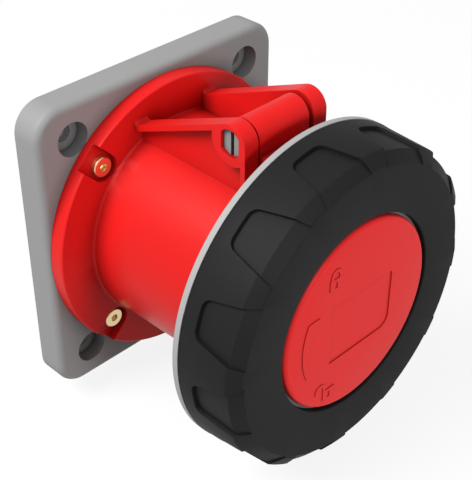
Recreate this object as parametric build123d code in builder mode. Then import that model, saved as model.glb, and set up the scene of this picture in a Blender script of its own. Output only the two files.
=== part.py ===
import os
from math import acos, atan2, cos, hypot, radians, sin

from build123d import *

# The origin is the centre of the mounting face. The socket opens towards -Y, and +Z is up.
# Depths are distances in front of the mounting face, so a depth of 10 lies at Y = -10.

# Base plate
plate_margin_x = 14.25
plate_margin_z = 12.6
plate_thickness = 10.9
plate_corner_radius = 9.9
plate_edge_radius = 2.6
plate_front_wall = 3.5
plate_side_wall = 3.0
plate_lip = 1.6
plate_rib = 2.0
fixing_spacing_x = 77.0
fixing_spacing_z = 85.0
fixing_hole_radius = 3.1
fixing_recess_radius = 6.0
fixing_recess_depth = 5.6
fixing_boss_wall = 2.0
fixing_sleeve_wall = 2.0

# Gasket behind the base plate
panel_gasket_thickness = 1.6
panel_gasket_clearance = 0.2
gasket_hole_clearance = 0.4

# Flange disc and the screws in its pockets
disc_margin = 1.05
disc_thickness = 5.8
disc_edge_radius = 0.6
flange_screw_inset = 7.7
flange_screw_radius = 2.0
flange_screw_length = 11.0
flange_head_radius = 3.6
flange_head_height = 2.0
flange_pocket_radius = 4.9
flange_pocket_depth = 3.0
flange_boss_wall = 1.8
screw_hole_clearance = 0.1
drive_width = 2.2
drive_depth = 1.1

# Slots of the small inner screws
small_slot_width = 0.8
small_slot_depth = 0.7

# Seal between the disc and the base plate
seal_inset = 1.6
seal_width = 2.5
seal_depth = 1.6
seal_clearance = 0.1

# Tube of the housing
tube_bore_radius = 35.2
tube_mouth_wall = 2.3
tube_taper = 0.9
tube_length = 71.8
tube_base_fillet = 1.0
keyway_width = 8.0
keyway_cut = 1.3
ledge_width = 4.3
ledge_setback = 21.1
ledge_thickness = 6.0

# Bayonet lugs at the mouth of the tube
lug_angles = (30, 150, 270)
lug_half_angle = 12.0
lug_height = 8.5
lug_setback = 2.1
lug_thickness = 4.8

# Hinge
hinge_setback = 29.7
hinge_rise = 1.2
arm_inner_x = 12.3
arm_thickness = 5.8
arm_end_radius = 6.3
arm_root_drop = 11.3
arm_root_fillet = 1.4
arm_web_thickness = 2.6
arm_rib = 2.0
arm_boss_radius = 7.7
arm_boss_step = 0.5
arm_step_radius = 6.2
window_radius = 4.6
window_width = 7.4

# Hinge pin
pin_radius = 3.4
pin_fit = 0.08
pin_head_clearance = 0.1
pin_head_sink = 1.2
pin_slot_width = 1.3
pin_slot_depth = 1.6

# Contact carrier
carrier_clearance = 0.5
carrier_setback = 4.5
carrier_edge_radius = 1.0
carrier_screw_inset = 1.4
carrier_screw_angles = (90, 210, 330)
carrier_screw_radius = 1.2
carrier_screw_length = 9.5
carrier_head_radius = 2.2
carrier_head_height = 1.8

# Contacts
pitch_radius = 19.0
contact_names = ("l1", "l2", "l3", "neutral", "earth", "pilot")
contact_angles = (198, 126, 54, 342, 270, 0)
contact_circles = (pitch_radius, pitch_radius, pitch_radius, pitch_radius, pitch_radius, 0.0)
contact_bore_radii = (4.1, 4.1, 4.1, 4.1, 5.1, 3.1)
contact_wall = 2.1
contact_collar_rim = 1.2
contact_collar_thickness = 2.0
contact_fit = 0.08
contact_setback = 9.3
contact_bore_start = 0.7
terminal_length = 16.0
terminal_bore_radius = 3.2
terminal_bore_depth = 9.5
terminal_screw_radius = 2.0
terminal_screw_depth = 5.5
terminal_screw_standout = 0.8
terminal_screw_length = 3.4
pilot_setback = 8.0

# Plate that clamps the contacts and the carrier to the ledge
retainer_clearance = 0.3
retainer_thickness = 5.0
retainer_screw_angles = (90, 234)
retainer_screw_radius = 1.4
retainer_screw_length = 10.0
retainer_head_radius = 2.6
retainer_head_height = 1.8

# Inner lid with the hinge barrel
lid_ring_gap = 4.0
lid_mouth_gap = 1.5
lid_thickness = 3.3
lid_lug_left = 11.5
lid_lug_right = 10.4
lid_lug_root = 2.8
lid_lug_height = 4.8
lid_lug_fillet = 4.0
barrel_radius = 6.0

# Lid gasket
lid_gasket_inside = 2.6
lid_gasket_outside = 2.1
lid_gasket_sink = 1.3
lid_gasket_clearance = 0.1
mouth_gap = 0.3

# Turning ring
ring_skirt = 15.0
ring_rim_thickness = 2.05
ring_rim_width = 3.5
ring_wall = 3.2
ring_lug_gap = 4.0
ring_front_thickness = 2.5
ring_front_gap = 0.3
ring_bore_clearance = 0.3
ring_cam_height = 7.5
ring_cam_thickness = 3.8
ring_cam_gap = 0.6
ring_cam_half_angle = 12.0
ring_lock_angle = 30.0
ring_rim_edge = 0.4

# Rubber grip
grip_rim_step = 0.15
grip_taper = 1.05
grip_chamfer_width = 4.2
grip_chamfer_depth = 3.1
grip_front_wall = 2.5
grip_window_gap = 1.05
grip_clearance = 0.05
pad_count = 12
pad_phase = -10.0
pad_rear_margin = 5.1
pad_rear_half_width = 6.3
pad_front_half_width = 10.2
pad_sink = 1.3
pad_corner_radius = 2.4

# Front cap
cap_overlap = 4.25
cap_thickness = 2.5
cap_edge_radius = 2.0
cap_hub_radius = 29.2
cap_screw_circle = 20.0
cap_screw_angles = (90, 210, 330)
cap_screw_radius = 1.6
cap_screw_length = 5.0
cap_head_radius = 3.0
cap_head_height = 1.8
label_width = 28.8
label_height = 21.7
label_corner_radius = 4.0
label_sink = 0.35
label_x = 1.7
label_z = -1.85

# Sizes worked out from the ones above
plate_width = fixing_spacing_x + 2 * plate_margin_x
plate_height = fixing_spacing_z + 2 * plate_margin_z
pocket_floor_depth = plate_thickness - plate_front_wall
fixing_sleeve_radius = fixing_hole_radius + fixing_sleeve_wall
cable_opening_radius = tube_bore_radius
disc_radius = plate_width / 2 - disc_margin
disc_front_depth = plate_thickness + disc_thickness
flange_floor_depth = disc_front_depth - flange_pocket_depth
flange_screw_circle = disc_radius - flange_screw_inset
seal_outer_radius = disc_radius - seal_inset
seal_inner_radius = seal_outer_radius - seal_width
tube_mouth_radius = tube_bore_radius + tube_mouth_wall
tube_base_radius = tube_mouth_radius + tube_taper
tube_mouth_depth = disc_front_depth + tube_length
ledge_inner_radius = tube_bore_radius - ledge_width
ledge_depth = plate_thickness + ledge_setback
ledge_front_depth = ledge_depth + ledge_thickness
lug_outer_radius = tube_mouth_radius + lug_height
lug_depth = tube_mouth_depth - lug_setback - lug_thickness
retainer_radius = tube_bore_radius - retainer_clearance
retainer_rear_depth = ledge_depth - retainer_thickness
carrier_radius = ledge_inner_radius - carrier_clearance
carrier_front_depth = tube_mouth_depth - carrier_setback
carrier_screw_circle = ledge_inner_radius + carrier_screw_inset
contact_bore_rear = ledge_depth + contact_bore_start
sleeve_front_depth = carrier_front_depth - contact_setback
ring_inner_radius = lug_outer_radius + ring_lug_gap
ring_wall_radius = ring_inner_radius + ring_wall
ring_rim_radius = ring_wall_radius + ring_rim_width
ring_cam_radius = ring_inner_radius - ring_cam_height
lid_radius = ring_inner_radius - lid_ring_gap
lid_depth = tube_mouth_depth + lid_mouth_gap
lid_front_depth = lid_depth + lid_thickness
lid_lug_bottom_z = lid_radius - lid_lug_root
lid_lug_top_z = lid_lug_bottom_z + lid_lug_height
lid_gasket_inner_radius = tube_bore_radius - lid_gasket_inside
lid_gasket_outer_radius = tube_mouth_radius + lid_gasket_outside
gasket_front_depth = lid_depth + lid_gasket_sink
gasket_rear_depth = tube_mouth_depth + mouth_gap
hinge_y = hinge_setback - lid_depth
hinge_z = disc_radius + hinge_rise
arm_outer_x = arm_inner_x + arm_thickness
arm_web_x = arm_inner_x + arm_web_thickness
arm_root_z = hinge_z - arm_root_drop
pin_head_radius = window_radius - pin_head_clearance
pin_head_width = window_width - 2 * pin_head_clearance
pin_head_x = -(arm_outer_x - pin_head_sink)
ring_rear_depth = lid_depth - ring_skirt
ring_front_rear_depth = lid_front_depth + ring_front_gap
ring_front_depth = ring_front_rear_depth + ring_front_thickness
ring_bore_radius = cap_hub_radius + ring_bore_clearance
cam_depth = lug_depth - ring_cam_gap - ring_cam_thickness
cap_radius = cap_hub_radius + cap_overlap
cap_rear_depth = ring_front_depth + ring_front_gap
cap_front_depth = cap_rear_depth + cap_thickness
grip_rear_radius = ring_rim_radius - grip_rim_step
grip_rear_depth = ring_rear_depth + ring_rim_thickness + grip_clearance
grip_shoulder_radius = grip_rear_radius - grip_taper
grip_front_radius = grip_shoulder_radius - grip_chamfer_width
grip_front_depth = ring_front_depth + grip_front_wall
grip_shoulder_depth = grip_front_depth - grip_chamfer_depth
grip_window_radius = cap_radius + grip_window_gap
pad_rear_depth = grip_rear_depth + pad_rear_margin


# Section of a ring between two angles, drawn around the X direction
def ring_sector(inner, outer, half_angle):
    with BuildSketch() as sector:
        with BuildLine():
            inside = CenterArc((0, 0), inner, -half_angle, 2 * half_angle)
            outside = CenterArc((0, 0), outer, -half_angle, 2 * half_angle)
            Line(inside @ 0, outside @ 0)
            Line(inside @ 1, outside @ 1)
        make_face()
    return sector.sketch


# Solids of one kind of screw: a turned head on a shank, with its drive cut into the head
def screw_body(head_radius, head_height, shank_radius, length, slot_width, slot_depth):
    with BuildPart() as screw:
        with BuildSketch():
            Circle(head_radius)
        extrude(amount=head_height)
        chamfer(screw.faces().sort_by(Axis.Z)[-1].edges(), 0.2 * head_height)
        with BuildSketch():
            Circle(shank_radius)
        extrude(amount=-length)
        with BuildSketch(Plane.XY.offset(head_height - slot_depth)):
            Rectangle(2 * head_radius, slot_width)
        extrude(amount=slot_depth, mode=Mode.SUBTRACT)
    return screw.part


# The same screw placed several times, each with its head towards the given direction
def screw_group(body, centres, depth, towards_front):
    plane = Plane.XZ.offset(depth) if towards_front else Plane.ZX.offset(-depth)
    placed = []
    for x, z in centres:
        seat = Plane(origin=(x, -depth, z), x_dir=(1, 0, 0), z_dir=plane.z_dir)
        placed.append(seat.location * body)
    return Compound(children=placed)


# Centres on a circle around the socket's axis, as X and Z
def circle_centres(radius, angles):
    return [(radius * cos(radians(a)), radius * sin(radians(a))) for a in angles]


flange_screw_centres = circle_centres(flange_screw_circle, (45, 135, 225, 315))
carrier_screw_centres = circle_centres(carrier_screw_circle, carrier_screw_angles)
retainer_screw_centres = circle_centres(pitch_radius, retainer_screw_angles)
cap_screw_centres = circle_centres(cap_screw_circle, cap_screw_angles)
contact_centres = [circle_centres(r, (a,))[0] for r, a in zip(contact_circles, contact_angles)]

# Base plate, cored from behind
with BuildPart() as base_plate:
    with BuildSketch(Plane.XZ):
        RectangleRounded(plate_width, plate_height, plate_corner_radius)
    extrude(amount=plate_thickness)
    fillet(base_plate.faces().sort_by(Axis.Y)[0].edges(), plate_edge_radius)
    with BuildSketch(Plane.XZ):
        RectangleRounded(plate_width - 2 * plate_lip, plate_height - 2 * plate_lip, plate_corner_radius - plate_lip)
        with GridLocations(fixing_spacing_x, fixing_spacing_z, 2, 2):
            Circle(fixing_sleeve_radius, mode=Mode.SUBTRACT)
    extrude(amount=panel_gasket_thickness, mode=Mode.SUBTRACT)
    with BuildSketch(Plane.XZ.offset(panel_gasket_thickness)):
        RectangleRounded(
            plate_width - 2 * plate_side_wall,
            plate_height - 2 * plate_side_wall,
            plate_corner_radius - plate_side_wall,
        )
        Circle(cable_opening_radius + plate_side_wall, mode=Mode.SUBTRACT)
        with GridLocations(fixing_spacing_x, fixing_spacing_z, 2, 2):
            Circle(fixing_recess_radius + fixing_boss_wall, mode=Mode.SUBTRACT)
        with Locations(*flange_screw_centres):
            Circle(flange_screw_radius + flange_boss_wall, mode=Mode.SUBTRACT)
        Rectangle(plate_rib, plate_height, mode=Mode.SUBTRACT)
        Rectangle(plate_width, plate_rib, mode=Mode.SUBTRACT)
    extrude(amount=pocket_floor_depth - panel_gasket_thickness, mode=Mode.SUBTRACT)
    with BuildSketch(Plane.XZ):
        Circle(cable_opening_radius)
    extrude(amount=plate_thickness, mode=Mode.SUBTRACT)
    with Locations(Plane.XZ.offset(plate_thickness)):
        with GridLocations(fixing_spacing_x, fixing_spacing_z, 2, 2):
            CounterBoreHole(fixing_hole_radius, fixing_recess_radius, fixing_recess_depth)
        with Locations(*flange_screw_centres):
            Hole(flange_screw_radius + screw_hole_clearance)
base_plate.part.label = "base_plate"

# Flat gasket in the back of the base plate
with BuildPart() as panel_gasket:
    with BuildSketch(Plane.XZ):
        RectangleRounded(
            plate_width - 2 * (plate_lip + panel_gasket_clearance),
            plate_height - 2 * (plate_lip + panel_gasket_clearance),
            plate_corner_radius - plate_lip - panel_gasket_clearance,
        )
        Circle(cable_opening_radius + panel_gasket_clearance, mode=Mode.SUBTRACT)
        with GridLocations(fixing_spacing_x, fixing_spacing_z, 2, 2):
            Circle(fixing_sleeve_radius + gasket_hole_clearance, mode=Mode.SUBTRACT)
    extrude(amount=panel_gasket_thickness)
panel_gasket.part.label = "panel_gasket"

# Where the straight top of an arm touches its round end
root_y = -disc_front_depth
root_reach = hypot(root_y - hinge_y, arm_root_z - hinge_z)
root_heading = atan2(arm_root_z - hinge_z, root_y - hinge_y)
touch_angle = root_heading + acos(arm_end_radius / root_reach)
touch_y = hinge_y + arm_end_radius * cos(touch_angle)
touch_z = hinge_z + arm_end_radius * sin(touch_angle)
crown = (touch_angle + radians(180)) / 2
arm_heel_y = -plate_thickness - seal_depth
arm_heel_z = arm_root_z + 2 * arm_root_fillet
arm_foot_z = ledge_inner_radius - 2 * arm_rib

# Side outline of a hinge arm, carried on into the disc and the tube wall
with BuildSketch(Plane.YZ) as arm_outline:
    with BuildLine():
        Polyline((arm_heel_y, arm_heel_z), (root_y, arm_heel_z), (root_y, arm_root_z), (touch_y, touch_z))
        ThreePointArc(
            (touch_y, touch_z),
            (hinge_y + arm_end_radius * cos(crown), hinge_z + arm_end_radius * sin(crown)),
            (hinge_y - arm_end_radius, hinge_z),
        )
        Polyline(
            (hinge_y - arm_end_radius, hinge_z),
            (hinge_y - arm_end_radius, arm_foot_z),
            (arm_heel_y, arm_foot_z),
            (arm_heel_y, arm_heel_z),
        )
    make_face()
    fillet(arm_outline.vertices().sort_by_distance((root_y, arm_root_z))[0], arm_root_fillet)

# One hinge arm on the +X side, a web with a rib round its edge and a boss for the pin
with BuildPart() as hinge_arm:
    with BuildSketch(Plane.YZ.offset(arm_inner_x)):
        add(arm_outline.sketch_local)
    extrude(amount=arm_outer_x - arm_inner_x)
    with BuildSketch(Plane.YZ.offset(arm_web_x)):
        add(arm_outline.sketch_local)
        offset(amount=-arm_rib, kind=Kind.INTERSECTION, mode=Mode.REPLACE)
        with Locations((hinge_y, hinge_z)):
            Circle(arm_boss_radius, mode=Mode.SUBTRACT)
    extrude(amount=arm_outer_x - arm_web_x, mode=Mode.SUBTRACT)
    with BuildSketch(Plane.YZ.offset(arm_outer_x - arm_boss_step)):
        with Locations((hinge_y, hinge_z)):
            Circle(arm_boss_radius)
            Circle(arm_step_radius, mode=Mode.SUBTRACT)
        add(arm_outline.sketch_local, mode=Mode.INTERSECT)
    extrude(amount=arm_boss_step, mode=Mode.SUBTRACT)
hinge_arm.part.label = "hinge_arm"

# Tapered tube, flange disc, arms and bayonet lugs in one moulding
with BuildPart() as housing:
    with BuildSketch(Plane.XY) as body_profile:
        Polygon(
            (0, -plate_thickness),
            (disc_radius, -plate_thickness),
            (disc_radius, -disc_front_depth),
            (tube_base_radius, -disc_front_depth),
            (tube_mouth_radius, -tube_mouth_depth),
            (0, -tube_mouth_depth),
            align=None,
        )
        fillet(body_profile.vertices().sort_by_distance((disc_radius, -disc_front_depth))[0], disc_edge_radius)
        fillet(body_profile.vertices().sort_by_distance((tube_base_radius, -disc_front_depth))[0], tube_base_fillet)
    revolve(axis=Axis.Y)
    add(hinge_arm.part)
    add(mirror(hinge_arm.part, about=Plane.YZ, mode=Mode.PRIVATE))
    with BuildSketch(Plane.XZ.offset(lug_depth)):
        for lug_angle in lug_angles:
            add(ring_sector(tube_bore_radius, lug_outer_radius, lug_half_angle).rotate(Axis.Z, lug_angle))
    extrude(amount=lug_thickness)
    with BuildSketch(Plane.XZ.offset(ledge_front_depth)):
        Circle(tube_bore_radius)
        with Locations((0, -tube_bore_radius)):
            Rectangle(keyway_width, 2 * keyway_cut)
    extrude(amount=tube_mouth_depth - ledge_front_depth, mode=Mode.SUBTRACT)
    with BuildSketch(Plane.XZ.offset(plate_thickness)):
        Circle(tube_bore_radius)
    extrude(amount=ledge_depth - plate_thickness, mode=Mode.SUBTRACT)
    with BuildSketch(Plane.XZ.offset(ledge_depth)):
        Circle(ledge_inner_radius)
        with Locations(*carrier_screw_centres):
            Circle(carrier_screw_radius + screw_hole_clearance)
    extrude(amount=ledge_thickness, mode=Mode.SUBTRACT)
    with BuildSketch(Plane.XZ.offset(flange_floor_depth)):
        with PolarLocations(flange_screw_circle, len(flange_screw_centres), start_angle=45):
            Circle(flange_pocket_radius)
            with Locations((flange_pocket_radius, 0)):
                Rectangle(2 * flange_pocket_radius, 2 * flange_pocket_radius)
    extrude(amount=flange_pocket_depth, mode=Mode.SUBTRACT)
    with Locations(Plane.XZ.offset(flange_floor_depth)):
        with Locations(*flange_screw_centres):
            Hole(flange_screw_radius + screw_hole_clearance)
    with BuildSketch(Plane.XZ.offset(plate_thickness)):
        Circle(seal_outer_radius + seal_clearance)
        Circle(seal_inner_radius - seal_clearance, mode=Mode.SUBTRACT)
    extrude(amount=seal_depth, mode=Mode.SUBTRACT)
    with BuildSketch(Plane.YZ.offset(-arm_outer_x)):
        with Locations((hinge_y, hinge_z)):
            Circle(window_radius)
            Rectangle(window_width, 2 * window_radius, mode=Mode.INTERSECT)
    extrude(amount=arm_outer_x - arm_inner_x, mode=Mode.SUBTRACT)
    with BuildSketch(Plane.YZ.offset(arm_inner_x)):
        with Locations((hinge_y, hinge_z)):
            Circle(pin_radius + pin_fit)
    extrude(amount=arm_outer_x - arm_inner_x, mode=Mode.SUBTRACT)
housing.part.label = "housing"

# Seal in the back of the disc
with BuildPart() as housing_seal:
    with BuildSketch(Plane.XZ.offset(plate_thickness)):
        Circle(seal_outer_radius)
        Circle(seal_inner_radius, mode=Mode.SUBTRACT)
    extrude(amount=seal_depth - seal_clearance)
housing_seal.part.label = "housing_seal"

# Brass screws in the disc pockets
flange_screw = screw_body(
    flange_head_radius, flange_head_height, flange_screw_radius, flange_screw_length, drive_width, drive_depth
)
flange_screws = screw_group(flange_screw, flange_screw_centres, flange_floor_depth, True)
flange_screws.label = "flange_screws"

# Contact carrier with one stepped bore for each contact
with BuildPart() as contact_carrier:
    with BuildSketch(Plane.XZ.offset(ledge_depth)):
        Circle(carrier_radius)
    extrude(amount=carrier_front_depth - ledge_depth)
    fillet(contact_carrier.faces().sort_by(Axis.Y)[0].edges(), carrier_edge_radius)
    for centre, bore in zip(contact_centres, contact_bore_radii):
        sleeve = bore + contact_wall + contact_fit
        with BuildSketch(Plane.XZ.offset(ledge_depth)):
            with Locations(centre):
                Circle(sleeve)
        extrude(amount=carrier_front_depth - ledge_depth, mode=Mode.SUBTRACT)
        with BuildSketch(Plane.XZ.offset(ledge_depth)):
            with Locations(centre):
                Circle(sleeve + contact_collar_rim)
        extrude(amount=contact_collar_thickness, mode=Mode.SUBTRACT)
    with BuildSketch(Plane.XZ.offset(ledge_depth)):
        with Locations(*retainer_screw_centres):
            Circle(retainer_screw_radius + screw_hole_clearance)
    extrude(amount=retainer_screw_length - retainer_thickness + screw_hole_clearance, mode=Mode.SUBTRACT)
contact_carrier.part.label = "contact_carrier"

# Screws from behind through the clamping plate into the ledge
carrier_screw = screw_body(
    carrier_head_radius,
    carrier_head_height,
    carrier_screw_radius,
    carrier_screw_length,
    small_slot_width,
    small_slot_depth,
)
carrier_screws = screw_group(carrier_screw, carrier_screw_centres, retainer_rear_depth, False)
carrier_screws.label = "carrier_screws"

# Contact sleeves with their collars and terminals
contacts = []
terminal_screw_solids = []
for name, centre, bore in zip(contact_names, contact_centres, contact_bore_radii):
    outer = bore + contact_wall
    front_depth = sleeve_front_depth - (pilot_setback if name == "pilot" else 0)
    side_heading = atan2(centre[1], centre[0]) if hypot(*centre) > 0 else radians(90)
    side_plane = Plane(
        origin=(centre[0], terminal_length - terminal_screw_depth - retainer_rear_depth, centre[1]),
        x_dir=(0, 1, 0),
        z_dir=(cos(side_heading), 0, sin(side_heading)),
    )
    with BuildPart() as contact:
        with BuildSketch(Plane.XZ.offset(retainer_rear_depth - terminal_length)):
            with Locations(centre):
                Circle(outer)
        extrude(amount=front_depth - retainer_rear_depth + terminal_length)
        with BuildSketch(Plane.XZ.offset(ledge_depth)):
            with Locations(centre):
                Circle(outer + contact_collar_rim)
        extrude(amount=contact_collar_thickness)
        with BuildSketch(Plane.XZ.offset(contact_bore_rear)):
            with Locations(centre):
                Circle(bore)
        extrude(amount=front_depth - contact_bore_rear, mode=Mode.SUBTRACT)
        with BuildSketch(Plane.XZ.offset(retainer_rear_depth - terminal_length)):
            with Locations(centre):
                Circle(min(terminal_bore_radius, bore))
        extrude(amount=terminal_bore_depth, mode=Mode.SUBTRACT)
        with BuildSketch(side_plane):
            Circle(terminal_screw_radius + screw_hole_clearance)
        extrude(amount=2 * outer, mode=Mode.SUBTRACT)
    with BuildPart() as terminal_screw:
        with BuildSketch(side_plane.offset(outer - terminal_screw_length + terminal_screw_standout)):
            Circle(terminal_screw_radius)
        extrude(amount=terminal_screw_length)
        with BuildSketch(side_plane.offset(outer + terminal_screw_standout - small_slot_depth)):
            Rectangle(small_slot_width, 2 * terminal_screw_radius)
        extrude(amount=small_slot_depth, mode=Mode.SUBTRACT)
    terminal_screw_solids += terminal_screw.part.solids()
    contact.part.label = "contact_" + name
    contacts.append(contact.part)

# Clamping screws in the sides of the terminals
terminal_screws = Compound(children=terminal_screw_solids)
terminal_screws.label = "terminal_screws"

# Clamping plate behind the collars
with BuildPart() as contact_retainer:
    with BuildSketch(Plane.XZ.offset(retainer_rear_depth)):
        Circle(retainer_radius)
        for centre, bore in zip(contact_centres, contact_bore_radii):
            with Locations(centre):
                Circle(bore + contact_wall + contact_fit, mode=Mode.SUBTRACT)
        with Locations(*retainer_screw_centres):
            Circle(retainer_screw_radius + screw_hole_clearance, mode=Mode.SUBTRACT)
        with Locations(*carrier_screw_centres):
            Circle(carrier_screw_radius + screw_hole_clearance, mode=Mode.SUBTRACT)
    extrude(amount=retainer_thickness)
contact_retainer.part.label = "contact_retainer"

# Screws of that plate
retainer_screw = screw_body(
    retainer_head_radius,
    retainer_head_height,
    retainer_screw_radius,
    retainer_screw_length,
    small_slot_width,
    small_slot_depth,
)
retainer_screws = screw_group(retainer_screw, retainer_screw_centres, retainer_rear_depth, False)
retainer_screws.label = "retainer_screws"

# Hinge pin with a flat-sided slotted head in the window of the near arm
with BuildPart() as hinge_pin:
    with BuildSketch(Plane.YZ.offset(pin_head_x)):
        with Locations((hinge_y, hinge_z)):
            Circle(pin_head_radius)
            Rectangle(pin_head_width, 2 * pin_head_radius, mode=Mode.INTERSECT)
    extrude(amount=-arm_inner_x - pin_head_x)
    with BuildSketch(Plane.YZ.offset(-arm_inner_x)):
        with Locations((hinge_y, hinge_z)):
            Circle(pin_radius)
    extrude(amount=arm_inner_x + arm_outer_x)
    with BuildSketch(Plane.YZ.offset(pin_head_x)):
        with Locations((hinge_y, hinge_z)):
            Rectangle(pin_slot_width, 2 * pin_head_radius)
    extrude(amount=pin_slot_depth, mode=Mode.SUBTRACT)
hinge_pin.part.label = "hinge_pin"

# Inner lid, its lug and the hinge barrel in one moulding
lug_corner = (-lid_lug_left, hinge_y - barrel_radius, lid_lug_top_z)
with BuildPart() as lid_plate:
    with BuildSketch(Plane.XZ.offset(lid_depth)):
        Circle(lid_radius)
        with Locations(((lid_lug_right - lid_lug_left) / 2, lid_lug_top_z / 2)):
            Rectangle(lid_lug_left + lid_lug_right, lid_lug_top_z)
    extrude(amount=lid_thickness)
    with BuildSketch(Plane.XZ.offset(lid_depth)):
        Circle(lid_gasket_outer_radius + lid_gasket_clearance)
        Circle(lid_gasket_inner_radius - lid_gasket_clearance, mode=Mode.SUBTRACT)
    extrude(amount=lid_gasket_sink, mode=Mode.SUBTRACT)
    with BuildSketch(Plane.YZ.offset(-lid_lug_left)) as lug_outline:
        with Locations((hinge_y, hinge_z)):
            Circle(barrel_radius)
        Polygon(
            (hinge_y + barrel_radius, hinge_z),
            (hinge_y + barrel_radius, lid_lug_bottom_z),
            (-lid_front_depth, lid_lug_bottom_z),
            (-lid_front_depth, lid_lug_top_z),
            (hinge_y - barrel_radius, lid_lug_top_z),
            (hinge_y - barrel_radius, hinge_z),
            align=None,
        )
        fillet(lug_outline.vertices().sort_by_distance(lug_corner)[0], lid_lug_fillet)
    extrude(amount=lid_lug_left + lid_lug_right)
    with BuildSketch(Plane.YZ.offset(-lid_lug_left)):
        with Locations((hinge_y, hinge_z)):
            Circle(pin_radius + pin_fit)
    extrude(amount=lid_lug_left + lid_lug_right, mode=Mode.SUBTRACT)
    with BuildSketch(Plane.XZ.offset(lid_depth)):
        with Locations(*cap_screw_centres):
            Circle(cap_head_radius + 2 * screw_hole_clearance)
    extrude(amount=cap_head_height, mode=Mode.SUBTRACT)
    with BuildSketch(Plane.XZ.offset(lid_depth)):
        with Locations(*cap_screw_centres):
            Circle(cap_screw_radius + screw_hole_clearance)
    extrude(amount=lid_thickness, mode=Mode.SUBTRACT)
lid_plate.part.label = "lid_plate"

# Gasket that meets the mouth of the tube
with BuildPart() as lid_gasket:
    with BuildSketch(Plane.XZ.offset(gasket_rear_depth)):
        Circle(lid_gasket_outer_radius)
        Circle(lid_gasket_inner_radius, mode=Mode.SUBTRACT)
    extrude(amount=gasket_front_depth - gasket_rear_depth)
lid_gasket.part.label = "lid_gasket"

# Turning ring: rim, wall, front web and three cams
with BuildPart() as bayonet_ring:
    with BuildSketch(Plane.XY):
        Polygon(
            (ring_inner_radius, -ring_rear_depth),
            (ring_rim_radius, -ring_rear_depth),
            (ring_rim_radius, -ring_rear_depth - ring_rim_thickness),
            (ring_wall_radius, -ring_rear_depth - ring_rim_thickness),
            (ring_wall_radius, -ring_front_depth),
            (ring_bore_radius, -ring_front_depth),
            (ring_bore_radius, -ring_front_rear_depth),
            (ring_inner_radius, -ring_front_rear_depth),
            align=None,
        )
    revolve(axis=Axis.Y)
    with BuildSketch(Plane.XZ.offset(cam_depth)):
        for lug_angle in lug_angles:
            add(
                ring_sector(ring_cam_radius, ring_inner_radius + ring_rim_edge, ring_cam_half_angle).rotate(
                    Axis.Z, lug_angle + ring_lock_angle
                )
            )
    extrude(amount=ring_cam_thickness)
bayonet_ring.part.label = "bayonet_ring"

# Band that is taken off the grip to sink the pads
with BuildPart() as pad_band:
    side_slope = (grip_rear_radius - grip_shoulder_radius) / (grip_shoulder_depth - grip_rear_depth)
    pad_rear_radius = grip_rear_radius - side_slope * (pad_rear_depth - grip_rear_depth) - pad_sink
    with BuildSketch(Plane.XY):
        Polygon(
            (pad_rear_radius, -pad_rear_depth),
            (pad_rear_radius + 4 * pad_sink, -pad_rear_depth),
            (grip_front_radius + 4 * pad_sink, -grip_front_depth),
            (grip_front_radius, -grip_front_depth),
            (grip_shoulder_radius - pad_sink, -grip_shoulder_depth),
            align=None,
        )
    revolve(axis=Axis.Y)

# Outline of a pad at twelve o'clock, wider towards the front
with BuildPart() as pad_block:
    with BuildSketch(Plane.XY.offset(grip_front_radius - 2 * pad_sink)) as pad_outline:
        Polygon(
            (-pad_rear_half_width, -pad_rear_depth),
            (pad_rear_half_width, -pad_rear_depth),
            (pad_front_half_width, -grip_front_depth),
            (-pad_front_half_width, -grip_front_depth),
            align=None,
        )
        fillet(pad_outline.vertices().group_by(Axis.Y)[-1], pad_corner_radius)
    extrude(amount=ring_rim_radius - grip_front_radius + 4 * pad_sink)
    add(pad_band.part, mode=Mode.INTERSECT)

# Rubber grip over the ring
with BuildPart() as grip_ring:
    with BuildSketch(Plane.XY):
        Polygon(
            (ring_wall_radius + grip_clearance, -grip_rear_depth),
            (grip_rear_radius, -grip_rear_depth),
            (grip_shoulder_radius, -grip_shoulder_depth),
            (grip_front_radius, -grip_front_depth),
            (grip_window_radius, -grip_front_depth),
            (grip_window_radius, -ring_front_depth - grip_clearance),
            (ring_wall_radius + grip_clearance, -ring_front_depth - grip_clearance),
            align=None,
        )
    revolve(axis=Axis.Y)
    for pad in range(pad_count):
        add(pad_block.part.rotate(Axis.Y, pad_phase + pad * 360 / pad_count), mode=Mode.SUBTRACT)
grip_ring.part.label = "grip_ring"

# Front cap with its hub and a sunk plain field
with BuildPart() as cover_cap:
    with BuildSketch(Plane.XZ.offset(cap_rear_depth)):
        Circle(cap_radius)
    extrude(amount=cap_front_depth - cap_rear_depth)
    fillet(cover_cap.faces().sort_by(Axis.Y)[0].edges(), cap_edge_radius)
    with BuildSketch(Plane.XZ.offset(cap_front_depth - label_sink)):
        with Locations((label_x, label_z)):
            RectangleRounded(label_width, label_height, label_corner_radius)
    extrude(amount=label_sink, mode=Mode.SUBTRACT)
    with BuildSketch(Plane.XZ.offset(lid_front_depth)):
        Circle(cap_hub_radius)
    extrude(amount=cap_rear_depth - lid_front_depth)
    with BuildSketch(Plane.XZ.offset(lid_front_depth)):
        with Locations(*cap_screw_centres):
            Circle(cap_screw_radius)
    extrude(amount=cap_screw_length - lid_thickness + cap_head_height + screw_hole_clearance, mode=Mode.SUBTRACT)
cover_cap.part.label = "cover_cap"

# Screws that hold the cap, sunk in the back of the inner lid
cap_screw = screw_body(
    cap_head_radius, cap_head_height, cap_screw_radius, cap_screw_length, small_slot_width, small_slot_depth
)
cap_screws = screw_group(cap_screw, cap_screw_centres, lid_depth + cap_head_height, False)
cap_screws.label = "cap_screws"

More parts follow.
